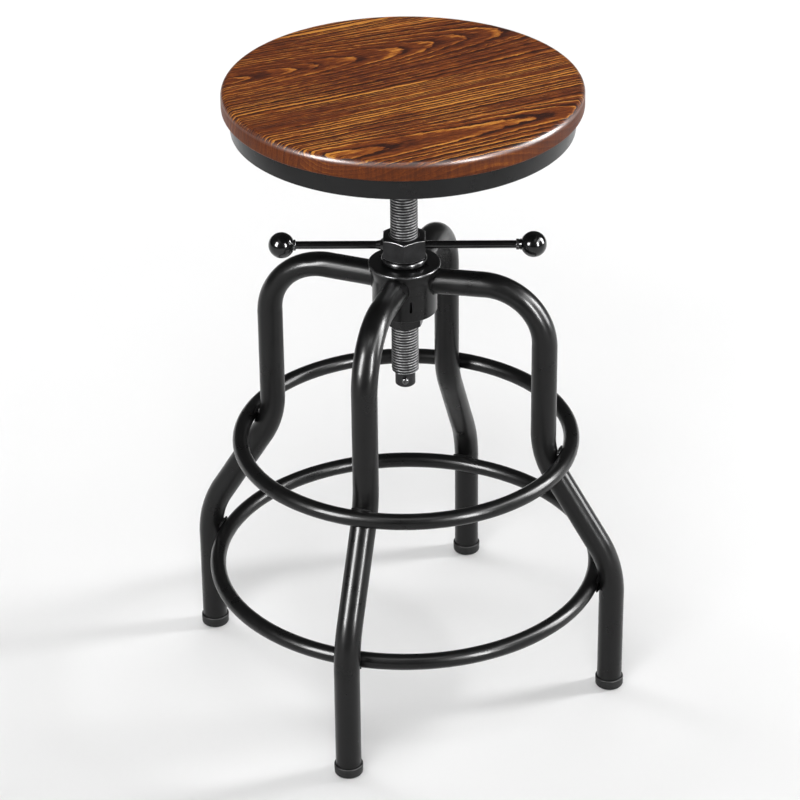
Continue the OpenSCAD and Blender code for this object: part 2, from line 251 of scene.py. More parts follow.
def bevelled(obj, width, edge_material=None):
    """Rounds an object's sharp lying edges, not its upright ones, with a lighter metal on them if asked:
    edge wear that also paints a highlight along them.
    """
    steep = 0.8
    mesh = obj.data
    weights = mesh.attributes.new("bevel_weight_edge", "FLOAT", "EDGE")
    probe = bmesh.new()
    probe.from_mesh(mesh)
    for i, edge in enumerate(probe.edges):
        along = (edge.verts[1].co - edge.verts[0].co).normalized()
        sharp = edge.calc_face_angle(0.0) > BEVEL_FROM
        weights.data[i].value = 1.0 if sharp and abs(along.z) < steep else 0.0
    probe.free()
    modifier = obj.modifiers.new("edge", "BEVEL")
    modifier.width = width
    modifier.segments = 2
    modifier.limit_method = "WEIGHT"
    modifier.harden_normals = True
    if edge_material:
        mesh.materials.append(edge_material)
        modifier.material = 1


# ---------------------------------------------------------------- node helpers

class Value:
    """One output of a node, which can stand in a formula."""

    def __init__(self, nodes, socket):
        self.nodes = nodes
        self.socket = socket

    def __add__(self, other):
        return self.nodes.math("ADD", self, other)

    def __radd__(self, other):
        return self.nodes.math("ADD", other, self)

    def __sub__(self, other):
        return self.nodes.math("SUBTRACT", self, other)

    def __rsub__(self, other):
        return self.nodes.math("SUBTRACT", other, self)

    def __mul__(self, other):
        return self.nodes.math("MULTIPLY", self, other)

    def __truediv__(self, other):
        return self.nodes.math("DIVIDE", self, other)


class Nodes:
    """A material's node tree: call it with a node type, its inputs and its properties."""

    def __init__(self, name):
        self.material = bpy.data.materials.new(name)
        self.material.use_nodes = True
        self.tree = self.material.node_tree
        self.shader = self.tree.nodes["Principled BSDF"]

    def __call__(self, kind, inputs=(), output=0, **properties):
        node = self.tree.nodes.new("ShaderNode" + kind)
        for key, value in properties.items():
            setattr(node, key, value)
        for key, value in dict(inputs).items():
            self.set(node.inputs[key], value)
        return Value(self, node.outputs[output])

    def set(self, socket, value):
        """Links a node's output to a socket, or sets the socket's own value."""
        if isinstance(value, Value):
            self.tree.links.new(value.socket, socket)
        else:
            socket.default_value = value

    def math(self, operation, a, b=0.0, clamp=False):
        """Any operation of one or two numbers."""
        return self("Math", {0: a, 1: b}, operation=operation, use_clamp=clamp)

    def is_one(self, value):
        """1 where a whole number is one, and 0 elsewhere."""
        return self("Math", {0: value, 1: 1.0, 2: 0.5}, operation="COMPARE")

    def remap(self, value, source, target):
        """Stretches a source range onto a target range, and holds the value at its ends."""
        return self("MapRange", {0: value, 1: source[0], 2: source[1], 3: target[0], 4: target[1]})

    def ramp(self, factor, stops):
        """Colour ramp from (position, colour) stops, where a plain number is a grey."""
        ramped = self("ValToRGB", {0: factor})
        elements = ramped.socket.node.color_ramp.elements
        while len(elements) < len(stops):
            elements.new(0.5)
        for element, (position, colour) in zip(elements, stops):
            element.position = position
            element.color = (*colour, 1) if isinstance(colour, tuple) else (colour, colour, colour, 1)
        return ramped

    def mix(self, factor, a, b):
        """From colour a to colour b, through the sockets that a Mix node has for colours."""
        a, b = ((*colour, 1) if isinstance(colour, tuple) else colour for colour in (a, b))
        return self("Mix", {0: factor, 6: a, 7: b}, output=2, data_type="RGBA")

    def noise(self, vector, scale, detail, roughness=0.5):
        """Noise between 0 and 1, around 0.5."""
        return self("TexNoise", {"Vector": vector, "Scale": scale, "Detail": detail, "Roughness": roughness})

    def object_point(self):
        """The shaded point in metres, in the frame's axes."""
        return self("TexCoord", output="Object")

    def split(self, vector):
        """The three numbers of a vector or colour."""
        first = self("SeparateXYZ", {0: vector})
        return [Value(self, socket) for socket in first.socket.node.outputs]

    def scaled(self, vector, scale, rotation=(0, 0, 0), location=(0, 0, 0)):
        """A vector that is stretched, turned and shifted."""
        return self("Mapping", {"Vector": vector, "Scale": scale,
                                "Rotation": rotation, "Location": location})

    def bump(self, height, distance, under=None):
        """Surface relief of a real height, over another relief if asked."""
        relief = {"Height": height, "Distance": distance}
        return self("Bump", relief if under is None else {**relief, "Normal": under})

    def finish(self, **inputs):
        """Sets the shader's inputs and gives the material."""
        for key, value in inputs.items():
            self.set(self.shader.inputs[key.replace("_", " ")], value)
        return self.material


# ---------------------------------------------------------------- metal and rubber

def paint(name, shade, roughness, peel, coat):
    """Black coating with a fine orange-peel surface and slightly uneven gloss."""
    n = Nodes(name)
    p = n.object_point()
    tone = n.noise(p, 22.0, 3.0)
    gloss = n.noise(p, 60.0, 4.0, 0.6)
    skin = n.noise(p, 620.0, 2.0, 0.45)
    dust = n.noise(p, 2600.0, 2.0, 0.7)
    dark, light = (tuple(shade * share * c for c in (1, 1, 1.03)) for share in (0.82, 1.18))
    relief = n.bump(dust, 0.0016 * MM, under=n.bump(skin, peel))
    return n.finish(Base_Color=n.ramp(tone, [(0.3, dark), (0.75, light)]),
                    Roughness=n.remap(gloss, (0.3, 0.7), (roughness - 0.04, roughness + 0.05)),
                    Normal=relief, Coat_Weight=coat, Coat_Roughness=0.12, Specular_IOR_Level=0.20)


def machined(name, dark, light, roughness):
    """Blackened machined steel: fine turning marks, and a rub where hands and tools touch it."""
    n = Nodes(name)
    p = n.object_point()
    blotch = n.noise(p, 90.0, 4.0, 0.6)
    turning = n.noise(n.scaled(p, (300, 300, 5200)), 1.0, 2.0, 0.6)
    return n.finish(Base_Color=n.ramp(blotch, [(0.3, dark), (0.72, light)]),
                    Roughness=n.remap(turning, (0.3, 0.7), (roughness - 0.06, roughness + 0.08)),
                    Metallic=0.85, Normal=n.bump(turning, 0.006 * MM))


def thread_steel(major):
    """Blackened cut thread whose crests have worn to bare grey steel."""
    n = Nodes("screw_steel")
    p = n.object_point()
    x, y, _ = n.split(p)
    radius = n.math("SQRT", x * x + y * y)
    crest = n.remap(radius, (major - 0.7 * MM, major), (0.0, 1.0))
    grime = n.noise(p, 240.0, 5.0, 0.7)
    fine = n.noise(p, 1500.0, 3.0, 0.6)
    wear = crest * n.remap(grime, (0.35, 0.62), (0.25, 1.0))
    return n.finish(Base_Color=n.mix(wear, (0.020, 0.020, 0.021), (0.21, 0.21, 0.213)),
                    Roughness=n.remap(grime, (0.3, 0.7), (0.38, 0.58)),
                    Metallic=0.75, Normal=n.bump(fine, 0.02 * MM))


def rubber(name):
    """Matte moulded rubber, scuffed along its height."""
    n = Nodes(name)
    p = n.object_point()
    grain = n.noise(p, 1400.0, 3.0, 0.6)
    scuff = n.noise(n.scaled(p, (1, 1, 0.3)), 160.0, 5.0, 0.65)
    return n.finish(Base_Color=n.ramp(scuff, [(0.45, 0.005), (0.8, 0.012)]),
                    Roughness=n.remap(scuff, (0.3, 0.8), (0.42, 0.62)),
                    Normal=n.bump(grain, 0.03 * MM), Specular_IOR_Level=0.30)


def plated(name, colour, roughness):
    """Bright plated or turned metal with a light haze."""
    n = Nodes(name)
    haze = n.noise(n.object_point(), 180.0, 4.0, 0.6)
    hazed = tuple(c * 0.82 for c in colour)
    return n.finish(Base_Color=n.ramp(haze, [(0.3, hazed), (0.7, colour)]),
                    Roughness=n.remap(haze, (0.3, 0.7), (roughness - 0.05, roughness + 0.1)),
                    Metallic=1.0, Normal=n.bump(haze, 0.004 * MM))


# ---------------------------------------------------------------- wood

def streaks(n, point, length, width, detail, roughness):
    """Noise about zero, drawn out along the grain: length and width are its scales along and across it."""
    run, across, up = point
    at = n("CombineXYZ", {0: run * length, 1: across * width, 2: up * width})
    return n.noise(at, 1.0, detail, roughness) - 0.5


def growth_rings(n, run, across, depth, tilt):
    """Distance from the log's wandering centre line, counted in years."""
    sway = n.noise(n("CombineXYZ", {0: run * 3.0}), 1.0, 1.0, 0.4) - 0.5
    wave = streaks(n, (run, across, depth), 11.0, 30.0, 3.0, 0.5)
    ripple = streaks(n, (run, across, depth), 75.0, 190.0, 3.0, 0.6)
    side = across + sway * 0.016
    below = depth + run * tilt
    radius = n.math("SQRT", side * side + below * below) + wave * 0.0052 + ripple * 0.0030
    uneven = n("TexNoise", {"W": radius * 75.0, "Scale": 1.0, "Detail": 2.0}, noise_dimensions="1D")
    return radius * RINGS_PER_METRE + uneven * 3.0


def sawn_planks(n, along, across, up):
    """The years of each plank's log, the way along its grain, and masks of the back and front planks."""
    plank = n.math("FLOOR", (across - PLANK_EDGE) / PLANK_WIDTH)
    tree = n.split(n("TexWhiteNoise", {"W": plank + TREE_SEED}, output="Color", noise_dimensions="1D"))
    centre = (plank + 0.5) * PLANK_WIDTH + PLANK_EDGE
    # the front and back planks are cut over the heart of a log, which gives flames, the others beside it
    back, heart = n.is_one(plank), n.is_one(n.math("ABSOLUTE", plank))
    front = heart - back
    away = (1.0 - heart) * (tree[0] * 0.05 + 0.085)
    pith = centre + away + front * 0.030
    depth = tree[1] * 0.008 + 0.024 - up
    tilt = 0.13 - front * 0.085
    run = along + tree[2] * 0.04
    return growth_rings(n, run, across - pith, depth, tilt), run, back, front


def face_grain(n, point, years, back, front, cloud):
    """Lightness and relief of the face: each year has a golden line and a dark line beside it."""
    phase = n.math("FRACT", years)
    gold = n.ramp(phase, [(0.50, 0.0), (0.68, 1.0), (0.80, 1.0), (0.86, 0.0)])
    dark = n.ramp(phase, [(0.0, 0.8), (0.22, 0.0), (0.84, 0.0), (0.90, 1.0), (1.0, 0.8)])
    dash = streaks(n, point, 70.0, 900.0, 3.0, 0.7)
    streak = streaks(n, point, 16.0, 330.0, 3.0, 0.62)
    band = streaks(n, point, 4.0, 60.0, 3.0, 0.55)
    # the back plank's flames are faint and the front plank's lines are the strongest
    shine = n.remap(band + cloud * 1.1, (-0.15, 0.20), (0.18, 1.0))
    bright = 0.92 - back * 0.36 + front * 0.16
    deep = 0.62 - back * 0.32 - front * 0.10
    ground = 0.415 + front * 0.05 + dash * 1.70 + streak * 0.75 + band * 0.22
    return ground + gold * shine * bright - dark * deep, gold - dark + dash * 1.6


def edge_grain(n, p, cloud):
    """Lightness of the turned edge: its end grain soaks up the stain evenly."""
    pores = n.noise(p, 900.0, 3.0, 0.7) - 0.5
    ticks = n.noise(n.scaled(p, (420, 420, 35)), 1.0, 3.0, 0.65) - 0.5
    return 0.42 + pores * 0.6 + cloud * 0.5 + ticks * 0.7


def stained_wood(board_top):
    """Stained, brushed softwood glued from planks, under a satin lacquer."""
    n = Nodes("seat_wood")
    p = n.scaled(n.object_point(), (1, 1, 1), rotation=(0, 0, -GRAIN_TURN), location=(0, 0, -board_top))
    along, across, up = n.split(p)
    years, run, back, front = sawn_planks(n, along, across, up)
    point = (run, across, up)
    cloud = streaks(n, point, 6.0, 12.0, 2.0, 0.5)
    grain, relief = face_grain(n, point, years, back, front, cloud)
    edge = n.remap(up, (-1 * MM, -5 * MM), (0.0, 0.8))
    face = 1.0 - edge
    level = n.math("ADD", grain * face, edge_grain(n, p, cloud) * edge, clamp=True)
    stain = n.ramp(level, [(0.06, (0.019, 0.0027, 0.0003)), (0.24, (0.056, 0.0090, 0.0006)),
                           (0.42, (0.130, 0.0240, 0.0014)), (0.60, (0.224, 0.0480, 0.0030)),
                           (0.78, (0.385, 0.1120, 0.0090)), (0.96, (0.640, 0.2550, 0.0330))])
    # lacquer gathers on the rounded corner and is thin on the upright side below it
    fall = n.remap(up, (0.0, -8 * MM), (0.0, 1.0))
    coat = n.ramp(fall, [(0.0, 0.08), (0.06, 0.15), (0.25, 0.55), (0.50, 0.55), (0.80, 0.06)])
    shiny = n.ramp(fall, [(0.0, 0.22), (0.30, 0.30), (0.50, 0.30), (0.85, 0.08)])
    return n.finish(Base_Color=n.mix(edge * 0.5, stain, (0.125, 0.034, 0.0085)),
                    Roughness=n.remap(level, (0.1, 0.9), (0.50, 0.40)),
                    Normal=n.bump(relief * face, 0.09 * MM), Coat_Weight=coat,
                    Coat_Roughness=n.remap(cloud, (-0.2, 0.2), (0.17, 0.25)) + edge * 0.16,
                    Specular_IOR_Level=shiny)


# ---------------------------------------------------------------- seat

def seat_board(material):
    """The wooden disc, with a rounded top edge and a smaller round below."""
    low, high = span("seat_board")
    radius = reach("seat_board")
    inner, top_round, low_round = radius - 60 * MM, 6 * MM, 3 * MM
    outline = [(0, low), (inner, low)]
    outline += arc(radius - low_round, low + low_round, low_round, -90, 0, 6)
    outline += arc(radius - top_round, high - top_round, top_round, 0, 90, 10)
    outline += [(inner, high), (0, high)]
    add_object("seat_board_wood", lathe(outline, SEAT_SIDES), material, "seat", ["seat_board"])


def seat_pan(material):
    """The pressed dish under the board, with a turned-down rim."""
    low, high = span("seat_pan")
    radius = reach("seat_pan")
    wall, corner, lip = 2 * MM, 3 * MM, 0.7 * MM
    outline = [(0, high)]
    outline += arc(radius - corner, high - corner, corner, 90, 0, 8)
    outline += arc(radius - lip, low + lip, lip, 0, -90, 4)
    outline += arc(radius - wall + lip, low + lip, lip, -90, -180, 4)
    outline += arc(radius - corner, high - corner, corner - wall, 0, 90, 5)
    outline += [(0, high - wall)]
    add_object("seat_pan_steel", lathe(outline, SEAT_SIDES), material, "seat", ["seat_pan"])


# ---------------------------------------------------------------- legs, rings and their welds

def leg_line(low_z):
    """Points down the middle of a leg in its own x-z plane, each with how flat the tube is there."""
    spacing, degrees_per_step, foot_steps, swell = 6 * MM, 2.2, 12, 0.8
    splay = math.atan2(FOOT_R - UPRIGHT_R, UPPER_KNEE_Z - LOWER_KNEE_Z)
    corners = [Vector((ROOT_START, 0, ROOT_Z)),
               Vector((UPRIGHT_R, 0, ROOT_Z + (UPRIGHT_R - ROOT_START) * math.tan(ROOT_RISE))),
               Vector((UPRIGHT_R, 0, UPPER_KNEE_Z)), Vector((FOOT_R, 0, LOWER_KNEE_Z)),
               Vector((FOOT_R, 0, low_z))]
    # each bend's radius, its turn, and how much it flattens the tube
    bends = [(TOP_BEND, math.pi / 2 + ROOT_RISE, 0.085),
             (UPPER_KNEE, splay, 0.045),
             (LOWER_KNEE, splay, 0.04)]
    line = [(corners[0], 0.0)]
    for k, (radius, turn, flattening) in enumerate(bends):
        before, corner, after = corners[k:k + 3]
        inward, outward = (before - corner).normalized(), (after - corner).normalized()
        start = corner + inward * (radius * math.tan(turn / 2))
        centre = corner + (inward + outward).normalized() * (radius / math.cos(turn / 2))
        spoke, axis = start - centre, inward.cross(outward).normalized()
        lead = line[-1][0]
        parts = max(2, int((start - lead).length / spacing))
        line += [(lead.lerp(start, i / parts), 0.0) for i in range(1, parts)]
        steps = max(10, int(math.degrees(turn) / degrees_per_step))
        for i in range(steps + 1):
            point = centre + Matrix.Rotation(-turn * i / steps, 3, axis) @ spoke
            line.append((point, flattening * math.sin(math.pi * i / steps) ** swell))
    last = line[-1][0]
    return line + [(last.lerp(corners[-1], i / foot_steps), 0.0) for i in range(1, foot_steps + 1)]


def leg(name, material):
    """One bent leg. The tube flattens a little where it was bent, and widens a third as much."""
    line = leg_line(span("leg_" + name)[0])
    points = [point for point, _ in line]
    widening, sides = 0.35, 48

    def section(i):
        flat = line[i][1]
        return round_section(LEG_RADIUS * (1 + widening * flat), LEG_RADIUS * (1 - flat), sides)

    def outward(i):
        ahead, behind = points[min(i + 1, len(points) - 1)], points[max(i - 1, 0)]
        return Vector((0, 1, 0)).cross((ahead - behind).normalized())

    tube = moved(sweep(points, section, outward), Matrix.Rotation(leg_turn(name), 3, "Z"))
    add_object("leg_tube_" + name, tube, material, "frame", ["leg_" + name])


def foot_cap(name, material):
    """The rubber cap pressed onto a foot, narrowing a little towards its rounded sole."""
    low, high = span("foot_cap_" + name)
    sole, lip, taper, wall = 2.4 * MM, 0.9 * MM, 0.2 * MM, 4 * MM
    bore, inset, flat_r = LEG_RADIUS - 0.05 * MM, 0.1 * MM, FOOT_CAP_R - 5 * MM
    outline = [(0, low), (flat_r, low)]
    outline += arc(FOOT_CAP_R - sole - taper, low + sole, sole, -90, -8, 7)
    outline += arc(FOOT_CAP_R - lip, high - lip, lip, 0, 90, 4)
    outline += [(bore, high - inset), (bore, low + wall), (0, low + wall)]
    place = Matrix.Rotation(leg_turn(name), 4, "Z") @ Matrix.Translation((FOOT_R, 0, 0))
    cap = moved(lathe(outline, 64), place)
    add_object("cap_" + name, cap, material, "frame", ["foot_cap_" + name])


def ring_middle(node):
    """A ring's tube radius, the radius of its middle line, and its height."""
    low, high = span(node)
    tube = (high - low) / 2
    return tube, reach(node) - tube, (low + high) / 2


def tube_ring(node, material):
    """A ring of bent tube."""
    tube, ring_r, height = ring_middle(node)
    around, sides = 288, 28
    points = [polar(ring_r, TAU * i / around, height) for i in range(around)]
    ring = sweep(points, lambda i: round_section(tube, tube, sides), lambda i: UP, closed=True)
    add_object(node + "_tube", ring, material, "frame", [node])


def bead_section(thickness, i, waver, fast, slow):
    """A weld bead's round section at step i. It wanders below its full thickness by up to twice waver."""
    r = thickness * (1 - waver + waver * math.sin(i * fast) * math.sin(i * slow + 1.0))
    return round_section(r, r, 10)


def root_weld(name):
    """The fillet all round a leg where it meets the hub."""
    turn = Matrix.Rotation(leg_turn(name), 3, "Z")
    thickness, round_leg, steps = 1.3 * MM, LEG_RADIUS + 0.2 * MM, 72
    points = []
    for i in range(steps):
        y, z = round_leg * math.cos(TAU * i / steps), round_leg * math.sin(TAU * i / steps)
        x = math.sqrt(HUB_BODY_R ** 2 - y * y)
        points.append(turn @ Vector((x, y, ROOT_Z + (x - ROOT_START) * math.tan(ROOT_RISE) + z)))
    return sweep(points, lambda i: bead_section(thickness, i, 0.10, 1.7, 0.61),
                 lambda i: turn @ Vector((1, 0, 0)), closed=True)


def short_bead(points, thickness):
    """A weld bead along points, which tapers at both ends."""
    def section(i):
        taper = math.sqrt(math.sin(math.pi * (i + 0.5) / len(points)))
        return bead_section(thickness * taper, i, 0.14, 2.1, 0.37)

    return sweep(points, section, lambda i: UP)


def ring_weld(name, node, inside):
    """Two short beads, above and below the line where a ring touches a leg."""
    tube, ring_r, height = ring_middle(node)
    touch = ring_r + (tube if inside else -tube)
    thickness, half_length, lift, steps = 2.3 * MM, 10.2625 * MM, 0.62 * tube, 12
    angles = [leg_turn(name) + half_length / ring_r * (2 * i / steps - 1) for i in range(steps + 1)]
    lines = ([polar(touch, a, height + z) for a in angles] for z in (-lift, lift))
    return joined(*(short_bead(line, thickness) for line in lines))


def welds(name, material):
    """The beads that join a leg to the hub and to both rings."""
    add_object("root_weld_" + name, root_weld(name), material, "frame")
    for node, inside in (("upper_ring", False), ("lower_ring", True)):
        add_object(node + "_weld_" + name, ring_weld(name, node, inside), material, "frame")


# ---------------------------------------------------------------- hub and its nuts

def hub(material, rim_highlight_material):
    """The boss: a plain body that spreads into a thin flange, with its two key slots and a painted highlight
    of lighter metal along the flange's rim.
    """
    low, high = span("hub")
    flange, steps = reach("hub"), 12
    edge, rim, chamfer = 0.8 * MM, 1.25 * MM, 1.2 * MM
    flare_low, flare_high, flare_r = high - 15 * MM, high - 2.2 * MM, flange - 0.15 * MM
    outline = [(HUB_BORE + chamfer, low)]
    outline += arc(HUB_BODY_R - edge, low + edge, edge, -90, 0, 4)
    for i in range(steps + 1):
        t = i / steps
        spread = t * t * (3 - 2 * t) * 0.6 + t * 0.4
        outline.append((HUB_BODY_R + (flare_r - HUB_BODY_R) * spread,
                        flare_low + (flare_high - flare_low) * t))
    outline += arc(flange - rim, high - rim, rim, -10, 90, 8)
    outline += arc(HUB_BORE + edge, high - edge, edge, 90, 180, 3)
    outline += [(HUB_BORE, low + chamfer)]
    obj = add_object("hub_boss", lathe(outline, 192, closed=True), material, "frame", ["hub"])
    key_low, key_high = span("guide_key")
    open_slot_low = low + 9.9 * MM
    for turn, slot_low in ((SLOT_TURN, open_slot_low), (direction("guide_key"), key_low)):
        cut(obj, key_slot(slot_low, key_high - key_low, turn))
    # the flange's rounded rim faces take a lighter metal than the body: a painted highlight along the rim
    obj.data.materials.append(rim_highlight_material)
    for face in obj.data.polygons:
        if math.hypot(face.center.x, face.center.y) > flange - rim and face.center.z > high - 2 * rim:
            face.material_index = 1


def key_slot(low, height, turn):
    """A short bar with rounded ends, pointing out of the hub, to cut a key slot with."""
    half, r, depth = height / 2, 1.2 * MM, 6 * MM
    ring = [(y, z + half - r) for y, z in arc(0, 0, r, 0, 180, 8)]
    ring += [(y, z - half + r) for y, z in arc(0, 0, r, 180, 360, 8)]
    verts = [Vector((x, y, z)) for x in (HUB_BODY_R - depth, HUB_BODY_R + depth) for y, z in ring]
    place = Matrix.Rotation(turn, 4, "Z") @ Matrix.Translation((0, 0, low + half))
    return moved((verts, grid_faces(2, len(ring)) + end_caps(2, len(ring))), place)


def thrust_washer(material):
    """The round-edged washer that the T-bar nut turns on."""
    low, high = span("thrust_washer")
    outer, r = reach("thrust_washer"), 3.2 * MM
    outline = [(HUB_BORE, low)]
    outline += arc(outer - r, low + r, r, -90, 0, 6)
    outline += arc(outer - r, high - r, r, 0, 90, 8)
    outline += [(HUB_BORE, high)]
    washer = lathe(outline, 96, closed=True)
    add_object("thrust_washer_round", washer, material, "frame", ["thrust_washer"])


def hexagon(node, turn):
    """A hexagon nut with turned corners: its chamfer meets each flat in a curve."""
    low, high = span(node)
    corner, bore = reach(node), reach("lift_screw") + NUT_CLEARANCE
    mouth, chamfer, crown_share, steps_per_flat = 1.2 * MM, 1.8 * MM, 0.96, 14
    flat = corner * math.cos(math.pi / 6)
    crown = flat * crown_share
    slope, sides = chamfer / (corner - crown), 6 * steps_per_flat

    def outline(a):
        edge = flat / math.cos(a % (math.pi / 3) - math.pi / 6)
        drop = (edge - crown) * slope
        return [(bore + mouth, low), (crown, low), (edge, low + drop), (edge, high - drop),
                (crown, high), (bore + mouth, high), (bore, high - mouth), (bore, low + mouth)]

    columns = [[polar(radius, a + turn, height) for radius, height in outline(a)]
               for a in (TAU * k / sides for k in range(sides))]
    rows = list(zip(*columns))
    return [point for row in rows for point in row], grid_faces(len(rows), sides, close_rows=True)


def tbar_nut(material, worn):
    """The nut that drives the screw, with its edges in bright metal: edge wear, and a painted highlight
    along the chamfer curves.
    """
    shape = hexagon("tbar_nut", T_BAR_TURN + math.pi / 6)
    nut = add_object("tbar_hexagon", shape, material, "t_bar", ["tbar_nut"])
    # the bevels take the lighter metal: edge wear, and a painted highlight along the chamfer curves
    bevelled(nut, 0.35 * MM, worn)


def guide_nut(material):
    """The painted nut under the hub that the screw slides through."""
    shape = hexagon("guide_nut", GUIDE_NUT_TURN)
    bevelled(add_object("guide_hexagon", shape, material, "frame", ["guide_nut"]), 0.3 * MM)


# ---------------------------------------------------------------- T-bar

def ball_collar(name, side, material):
    """The turned collar that each ball is screwed against. It is modelled upright and laid along the arm."""
    centre = middle(name + "_ball")
    distance = math.hypot(centre.x, centre.y)
    ball_r, arm_r = reach(name + "_ball") - distance, 3.9 * MM
    start, length, inner = distance - ball_r - 1.5 * MM, 2.6 * MM, arm_r - 0.3 * MM
    collar_r, r = arm_r + 1.5 * MM, 0.6 * MM
    outline = [(inner, start)]
    outline += arc(collar_r - r, start + r, r, -90, 0, 4)
    outline += [(collar_r, start + length), (inner, start + length)]
    place = (Matrix.Translation((0, 0, middle("tbar_nut").z)) @ Matrix.Rotation(T_BAR_TURN + side, 4, "Z")
             @ Matrix.Rotation(math.pi / 2, 4, "Y"))
    collar = moved(lathe(outline, 40, closed=True), place)
    add_object("collar_" + name, collar, material, "t_bar")


# ---------------------------------------------------------------- lifting screw and stop pin

def thread_outline(root, major):
    """One turn of the thread as (share of the pitch, radius): root, flank, blunted crest, and back down."""
    rise = [(0.08, root), (0.20, root + (major - root) * 0.42), (0.32, major - 0.16 * MM),
            (0.39, major - 0.03 * MM), (0.44, major)]
    return [(0.0, root)] + rise + [(1 - share, radius) for share, radius in reversed(rise)]


def thread(low, high, major):
    """A right-handed metric thread as a closed shell, with its first and last turns tapered off."""
    sides, taper = 72, 1.5
    root = major - 0.5 * THREAD_PITCH
    outline = thread_outline(root, major)
    turns, step = int((high - low) / THREAD_PITCH) + 2, len(outline)
    rows = turns * step
    verts, faces = [], []
    for row in range(rows):
        turn, (share, radius) = row // step, outline[row % step]
        for k in range(sides):
            height = low + THREAD_PITCH * (turn - 1 + share + k / sides)
            z = min(max(height, low), high)
            r = min(radius, root + min(z - low, high - z) * taper)
            verts.append(polar(r, TAU * k / sides, z))
    # the last column of a turn joins the first column of the next one
    for row in range(rows - 1):
        for k in range(sides):
            a, b = row * sides + k, (row + 1) * sides + k
            if k < sides - 1:
                faces.append((a, a + 1, b + 1, b))
            elif row + step + 1 < rows:
                faces.append((a, (row + step) * sides, (row + step + 1) * sides, b))
    low_centre, high_centre, top = len(verts), len(verts) + 1, (rows - 1) * sides
    verts += [Vector((0, 0, low)), Vector((0, 0, high))]
    for k in range(sides):
        faces.append((low_centre, (k + 1) % sides, k))
        faces.append((high_centre, top + k, top + (k + 1) % sides))
    return verts, faces


def lift_screw(material):
    """The thread, the plain tail below it and the seat's spigot above it, each lapped into the thread."""
    low, high = span("lift_screw")
    shoulder = span("swivel_thrust_washer")[0]
    tail, tail_chamfer, spigot, spigot_chamfer, lap = 10 * MM, 1.2 * MM, 9 * MM, 1 * MM, 1 * MM
    tail_top, spigot_low = THREAD_LOW + lap, shoulder - lap
    tail_outline = [(0, low), (tail - tail_chamfer, low), (tail, low + tail_chamfer),
                    (tail, tail_top), (0, tail_top)]
    spigot_outline = [(0, spigot_low), (spigot, spigot_low), (spigot, high - spigot_chamfer),
                      (spigot - spigot_chamfer, high), (0, high)]
    shape = joined(thread(THREAD_LOW, shoulder, reach("lift_screw")),
                   lathe(tail_outline, 64), lathe(spigot_outline, 64))
    add_object("lift_screw_thread", shape, material, "screw", ["lift_screw"])


def stop_pin(material):
    """The cross pin in the screw's tail, with domed ends."""
    low, high = span("stop_pin")
    r, half, dome, steps = (high - low) / 2, reach("stop_pin"), 1.1 * MM, 6
    angles = [math.pi / 2 * i / steps for i in range(steps + 1)]
    outline = [(r * math.sin(a), -half + dome * (1 - math.cos(a))) for a in angles]
    outline += [(x, -z) for x, z in reversed(outline)]
    place = (Matrix.Translation((0, 0, (low + high) / 2)) @ Matrix.Rotation(PIN_TURN, 4, "Z")
             @ Matrix.Rotation(math.pi / 2, 4, "Y"))
    pin = moved(lathe(outline, 40), place)
    add_object("stop_pin_round", pin, material, "screw", ["stop_pin"])


# ---------------------------------------------------------------- floor, light and camera

def floor():
    """A wide, plain, nearly white floor."""
    half, shade = 12, [(0.3, 0.86), (0.7, 0.90)]
    corners = [(-half, -half, 0), (half, -half, 0), (half, half, 0), (-half, half, 0)]
    obj = in_scene("floor", mesh_of("floor", (corners, [(0, 1, 2, 3)])))
    n = Nodes("floor_white")
    tone = n.ramp(n.noise(n.object_point(), 1.4, 2.0), shade)
    obj.data.materials.append(n.finish(Base_Color=tone, Roughness=0.85, Specular_IOR_Level=0.1))


def area_light(name, where, aim, size, watts):
    """A rectangular light, placed and aimed in a frame that is turned with the camera."""
    data = bpy.data.lights.new(name, "AREA")
    data.shape = "RECTANGLE"
    data.size, data.size_y = size
    data.energy = watts
    obj = in_scene(name, data)
    turn = Matrix.Rotation(CAMERA_TURN, 3, "Z")
    obj.location = turn @ Vector(where)
    obj.rotation_euler = (turn @ (Vector(aim) - Vector(where))).to_track_quat("-Z", "Y").to_euler()
    return obj


def studio():
    """A dim white room, two soft lights, and more that act on reflections or on the floor only."""
    world = bpy.data.worlds.new("studio")
    bpy.context.scene.world = world
    world.use_nodes = True
    background = world.node_tree.nodes["Background"]
    background.inputs["Color"].default_value = (1, 1, 1, 1)
    background.inputs["Strength"].default_value = 0.07
    area_light("key", (2.5, 0.6, 1.65), (0, 0, 0.2), (0.5, 0.8), 43)
    area_light("overhead_front", (0.0, -1.2, 2.9), (0, 0, 0.3), (1.4, 0.5), 10)
    # these show only in reflections, as narrow strip lights do beside a strong key light
    stool_middle = (0, 0, 0.35)
    for light in (area_light("softbox_left", (-1.95, -1.70, 1.67), stool_middle, (0.90, 1.6), 245),
                  area_light("softbox_right", (1.76, -2.1, 1.45), stool_middle, (0.50, 1.5), 185),
                  area_light("panel_right", (2.7, 0.2, 1.35), stool_middle, (1.0, 1.8), 160),
                  area_light("panel_high", (1.87, -0.50, 2.09), stool_middle, (2.2, 0.6), 42),
                  area_light("panel_top", (0.0, -1.3, 3.2), stool_middle, (3.0, 2.2), 14)):
        light.visible_diffuse = False
    # these only brighten the floor, as the cut-out background of a catalogue picture does
    for light in (area_light("backdrop", (0.0, 2.6, 2.6), (0, 1.8, 0), (4.5, 1.8), 62),
                  area_light("fill_left", (-2.6, 2.2, 2.2), (-1.4, 1.4, 0), (1.6, 1.6), 46),
                  area_light("fill_front", (-0.8, -3.2, 2.4), (0, 0, 0.1), (3.2, 2.0), 100)):
        light.visible_glossy = False


